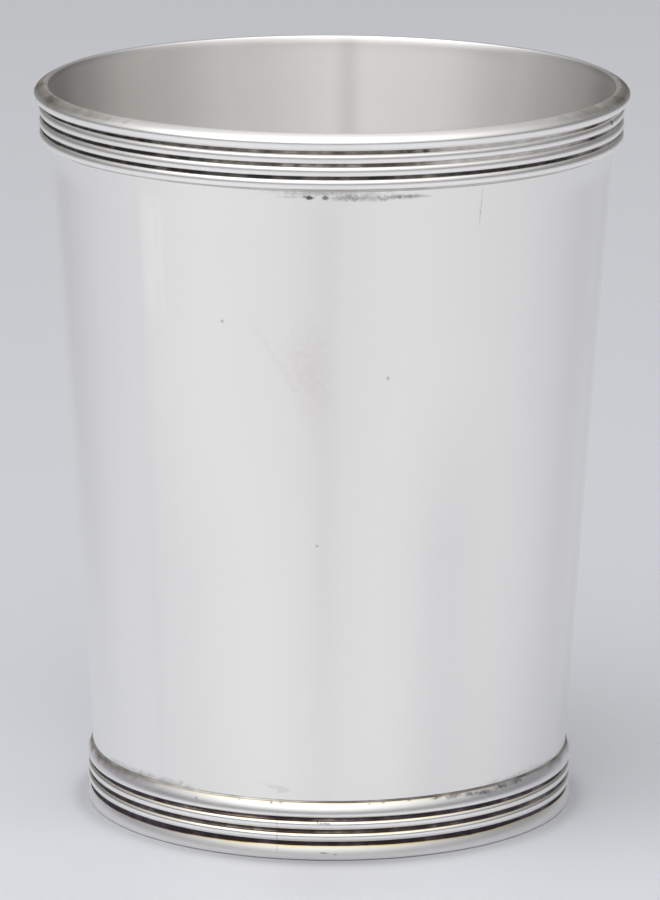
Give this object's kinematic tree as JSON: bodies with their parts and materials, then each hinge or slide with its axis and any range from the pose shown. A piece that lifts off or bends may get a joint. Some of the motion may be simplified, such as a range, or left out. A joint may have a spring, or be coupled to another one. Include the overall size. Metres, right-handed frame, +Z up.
{
  "type": "julep cup",
  "caption": "Tapered silver beaker for iced drinks, with a reeded moulding and rolled lip round the mouth and a matching reeded foot ring round a flat recessed base.",
  "frame": {"origin": "centre of the plane that the foot ring stands on", "axes": "+Z up along the cup's axis, towards the mouth; the cup is round, so X and Y are free"},
  "size_m": [0.0794, 0.0794, 0.0983],
  "materials": {
    "polished_silver": "old hand-polished silver, soft mirror outside with fine scratches, satin inside",
    "worn_silver": "polished reeds with dark and golden-brown tarnish in the grooves",
    "base_silver": "satin sheet silver with fine turning marks",
    "tarnished_solder": "dull silver solder, tarnished brown"
  },
  "bodies": {
    "root": {"body_wall": "polished_silver", "base_disc": "base_silver", "rim_moulding": "worn_silver", "foot_moulding": "worn_silver", "rim_solder": "tarnished_solder", "foot_solder": "tarnished_solder", "base_solder": "tarnished_solder"}
  },
  "joints": []
}
